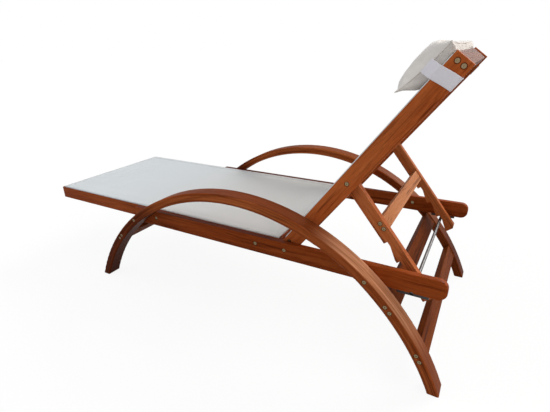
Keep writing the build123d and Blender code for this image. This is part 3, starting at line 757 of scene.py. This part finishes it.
# Pillow, in places on the back: u along it, y across it and v out from its face
PILLOW_U = 0.628
PILLOW_SEAM = 0.0275
HALF_LONG, HALF_HIGH = 0.270, 0.0755
ROUND_END = 0.055
SEAM_RADIUS = 0.0014
FRONT_FILL, REAR_FILL = 0.0300, 0.0330
LOWEST, LOWEST_FOLD = 0.0042, 0.0034
SIMULATED_FRAMES = 20
MOST_MOVE = 0.010


def seam_level(t):
    """The seam lies further from the back at its lower edge than at its upper one."""
    return PILLOW_SEAM + 0.0035 * t * t - 0.0095 * t


def fullness(a, t):
    """Height of the filling from 0 to 1: round near the ends, fullest above the middle."""
    end = min(1.0, (1 - abs(a)) * HALF_LONG / ROUND_END)
    w = t - 0.30 * (1 - t * t)
    return max(0.0, 1 - abs(w) ** 2.2) ** 0.46 * max(0.0, 1 - (1 - end) ** 2) ** 0.42


def pillow_point(a, t, front):
    """A point of the pillow: a along its length and t across it, both from -1 to 1."""
    corner = abs(a) ** 10 * abs(t) ** 10
    y = a * (HALF_LONG - 0.008 * (1 - t * t) + 0.002 * corner)
    u = PILLOW_U + t * (HALF_HIGH - 0.006 * (1 - a * a) ** 0.7)
    body = fullness(a, t)
    if front:
        return u, y, seam_level(t) + FRONT_FILL * body
    return u, y, max(LOWEST, seam_level(t) - REAR_FILL * body ** 0.75)


def spread(count, power=1.35):
    """Places from -1 to 1, closer together near the ends."""
    places = []
    for i in range(count + 1):
        s = i / count * 2 - 1
        places.append(math.copysign(1 - (1 - abs(s)) ** power, s))
    return places


def pillow_outline(count=60):
    """The seam, as points round the pillow."""
    points = []
    for start, end in (((-1, -1), (1, -1)), ((1, -1), (1, 1)), ((1, 1), (-1, 1)), ((-1, 1), (-1, -1))):
        steps = count if start[1] == end[1] else count // 3
        for i in range(steps):
            s = i / steps
            a = start[0] + (end[0] - start[0]) * s
            t = start[1] + (end[1] - start[1]) * s
            points.append(Vector(pillow_point(a, t, True)))
    return points


def simulate(obj, seam):
    """Fills the cover with air, its seam held, and lets it swell and wrinkle."""
    held = obj.vertex_groups.new(name="seam")
    held.add(sorted(seam), 1.0, "REPLACE")
    rest = [v.co.copy() for v in obj.data.vertices]
    modifier = obj.modifiers.new("cloth", "CLOTH")
    settings = modifier.settings
    settings.quality = 8
    settings.mass = 0.25
    settings.tension_stiffness = settings.compression_stiffness = 14
    settings.shear_stiffness = 6
    settings.bending_stiffness = 0.25
    settings.use_pressure = True
    settings.uniform_pressure_force = 4.0
    settings.vertex_group_mass = "seam"
    settings.pin_stiffness = 1.0
    settings.effector_weights.gravity = 0
    settings.shrink_min = -0.035
    modifier.point_cache.frame_start = 1
    modifier.point_cache.frame_end = SIMULATED_FRAMES
    scene = bpy.context.scene
    for step in range(1, SIMULATED_FRAMES + 1):
        scene.frame_set(step)
    graph = bpy.context.evaluated_depsgraph_get()
    settled = [v.co.copy() for v in obj.evaluated_get(graph).data.vertices]
    obj.modifiers.clear()
    for vertex, before, after in zip(obj.data.vertices, rest, settled):
        move = after - before
        if move.length > MOST_MOVE:
            move *= MOST_MOVE / move.length
        vertex.co = before + move
    scene.frame_set(1)


def part_corners(obj):
    """Splits the faces at the four corners, so that both panels keep their own faces there."""
    work = bmesh.new()
    work.from_mesh(obj.data)
    for corner in [v for v in work.verts if len(v.link_edges) == 2]:
        for face in list(corner.link_faces):
            place = list(face.verts).index(corner)
            bmesh.utils.face_split(face, corner, face.verts[(place + 2) % 4])
    work.to_mesh(obj.data)
    work.free()


def make_pillow(material):
    """Front and back panels that share the vertices of their seam."""
    lengths, heights = spread(72), spread(34)
    rows, columns = len(lengths), len(heights)
    vertices = [pillow_point(a, t, True) for a in lengths for t in heights]
    behind = []
    for i, a in enumerate(lengths):
        for j, t in enumerate(heights):
            if i in (0, rows - 1) or j in (0, columns - 1):
                behind.append(i * columns + j)
            else:
                behind.append(len(vertices))
                vertices.append(pillow_point(a, t, False))
    faces = grid_faces(rows, columns)
    faces += [tuple(behind[i] for i in reversed(face)) for face in faces]
    obj = new_object("pillow_cover", vertices, faces, material)
    seam = {index for place, index in enumerate(behind) if place == index}
    simulate(obj, seam)
    crease = obj.data.attributes.new("crease_edge", "FLOAT", "EDGE")
    for edge in obj.data.edges:
        if edge.vertices[0] in seam and edge.vertices[1] in seam:
            crease.data[edge.index].value = 1.0
    soften = obj.modifiers.new("soften", "SUBSURF")
    soften.levels = soften.render_levels = 1
    apply_all(obj)
    part_corners(obj)
    for vertex in obj.data.vertices:
        u, y, v = vertex.co
        a, t = y / HALF_LONG, (u - PILLOW_U) / HALF_HIGH
        inside = max(0.0, 1 - abs(t) ** 6) * max(0.0, 1 - abs(a) ** 8)
        wave = 0.0011 * noise.noise(Vector((u * 30, y * 14, 2.0)))
        wave += 0.0005 * noise.noise(Vector((u * 70, y * 60, 5.0)))
        vertex.co = (u, y, max(v + wave * inside, LOWEST_FOLD))
    obj.data.transform(back_face)
    shade_smooth(obj.data)
    return obj


def tube(name, points, radius, material, sides=8):
    """A closed ring of round section through points."""
    vertices, faces = [], []
    count = len(points)
    for i, point in enumerate(points):
        before, after = points[i - 1], points[(i + 1) % count]
        direction = (after - before).normalized()
        side = direction.cross(Vector((0, 0, 1)))
        side = side.normalized() if side.length > 1e-4 else Vector((1, 0, 0))
        other = side.cross(direction)
        for turn in range(sides):
            angle = 2 * pi * turn / sides
            vertices.append(point + (side * cos(angle) + other * sin(angle)) * radius)
    for i in range(count):
        j = (i + 1) % count
        for turn in range(sides):
            n = (turn + 1) % sides
            faces.append((i * sides + turn, i * sides + n, j * sides + n, j * sides + turn))
    return new_object(name, vertices, faces, material)


pillow_fabric = cloth(
    "pillow_fabric", (0.825, 0.760, 0.712), 0.0009, 0.09, back_axes, sheen=0.35, creases=0.0012,
)
pillow = make_pillow(pillow_fabric)
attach(pillow, "headrest")
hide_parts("pillow")
seam_points = [back_face @ p for p in pillow_outline()]
seam = tube("pillow_seam", seam_points, SEAM_RADIUS, pillow_fabric)
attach(seam, "headrest")

# Elastic bands: their course as places across the back and out from its face, from the pillow's end seam
# over the front edge of a back rail, down its outside and in behind it
BAND_COURSE = ((0.2709, PILLOW_SEAM + 0.0005), (0.2797, 0.0035), (0.2797, -0.0502), (0.2605, -0.0502))
BAND_THICKNESS = 0.0012
BAND_TURN = 0.0022
BAND_U = 0.6375
BAND_HALF_WIDTH = 0.0178
BAND_SKEW = 0.010
BAND_CROWN = 0.00035
BAND_SPACING = 0.003
BAND_COLUMNS = 13


def make_band(name, side, material):
    """A flat band from the pillow's end seam, round the outside of a back rail and in behind it."""
    line = [Vector(place) for place in BAND_COURSE]
    path = [line[0]]
    for before, corner, after in zip(line, line[1:], line[2:]):
        start = corner + (before - corner).normalized() * BAND_TURN
        end = corner + (after - corner).normalized() * BAND_TURN
        for i in range(6):
            s = i / 5
            path.append(start.lerp(corner, s).lerp(corner.lerp(end, s), s))
    path.append(line[-1])
    dense = []
    for a, b in zip(path, path[1:]):
        count = max(1, round((b - a).length / BAND_SPACING))
        dense += [a.lerp(b, i / count) for i in range(count)]
    dense.append(path[-1])
    vertices = []
    for point in dense:
        skew = BAND_SKEW * smoothstep(0.03, -0.055, point.y)
        for c in range(BAND_COLUMNS):
            s = c / (BAND_COLUMNS - 1) * 2 - 1
            crown = BAND_CROWN * (1 - s * s)
            vertices.append((BAND_U + s * BAND_HALF_WIDTH + skew, side * (point.x + crown), point.y))
    obj = new_object(name, vertices, grid_faces(len(dense), BAND_COLUMNS), material)
    tidy(obj, 1e-6)
    thicken(obj, BAND_THICKNESS)
    bevel = obj.modifiers.new("round", "BEVEL")
    bevel.width = 0.0004
    bevel.segments = 2
    bevel.limit_method = "ANGLE"
    apply_all(obj)
    obj.data.transform(back_face)
    shade_smooth(obj.data)
    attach(obj, "headrest")
    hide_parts("pillow_band")


band_fabric = cloth("band_fabric", (0.82, 0.78, 0.83), 0.0008, 0.10, back_axes, sheen=0.3)
for name, side in (("band_left", -1), ("band_right", 1)):
    make_band(name, side, band_fabric)

# Floor, sky and suns
FLOOR_REACH = 40.0
WHITE = (1, 1, 1, 1)


def make_floor():
    """A floor that looks white, with a soft shadow, and sends grey light back."""
    tree = Surface("floor")
    seen = tree.seen_directly()
    tree.link(tree.mix(seen, (0.42, 0.42, 0.42), (0.96, 0.96, 0.96)), tree.shader.inputs["Base Color"])
    tree.shader.inputs["Roughness"].default_value = 0.9
    tree.shader.inputs["Specular IOR Level"].default_value = 0.0
    shine = tree.glow("ShaderNodeEmission", WHITE, 1.0)
    both = tree.mix_shaders(tree.times(seen, 0.90), tree.shader.outputs[0], shine)
    tree.link(both, tree.output.inputs[0])
    corners = [(x * FLOOR_REACH, y * FLOOR_REACH, 0) for x, y in ((-1, -1), (1, -1), (1, 1), (-1, 1))]
    floor = new_object("floor", corners, [(0, 1, 2, 3)], tree.material, False)


def make_sky():
    """A sky that looks white and lights the chair, cooler from the foot end and warmer from the head end."""
    world = bpy.data.worlds.new("sky")
    bpy.context.scene.world = world
    tree = Tree(world)
    share = tree.add("ShaderNodeMapRange")
    share.inputs["From Min"].default_value = -1
    tree.link(tree.split(tree.coordinates("Generated"))[0], share.inputs["Value"])
    tint = tree.ramp(share.outputs[0], [(0.15, (0.84, 0.93, 1.0)), (0.85, (1.0, 0.97, 0.92))])
    soft = tree.glow("ShaderNodeBackground", tint, 0.52)
    white = tree.glow("ShaderNodeBackground", WHITE, 1.0)
    output = tree.add("ShaderNodeOutputWorld")
    tree.link(tree.mix_shaders(tree.seen_directly(), soft, white), output.inputs[0])


def sun(name, direction, strength, angle, colour):
    data = bpy.data.lights.new(name, "SUN")
    data.energy = strength
    data.angle = radians(angle)
    data.color = colour
    obj = bpy.data.objects.new(name, data)
    obj.rotation_euler = Vector(direction).to_track_quat("Z", "Y").to_euler()
    bpy.context.scene.collection.objects.link(obj)


make_floor()
make_sky()
sun("key", (0.34, 0.76, 0.55), 1.9, 30, (1.0, 0.98, 0.95))
sun("side", (0.80, -0.05, 0.60), 0.9, 50, (1.0, 0.96, 0.90))
sun("fill", (-0.62, -0.45, 0.64), 0.6, 60, (0.95, 0.98, 1.0))

bpy.context.scene.view_settings.view_transform = "Standard"
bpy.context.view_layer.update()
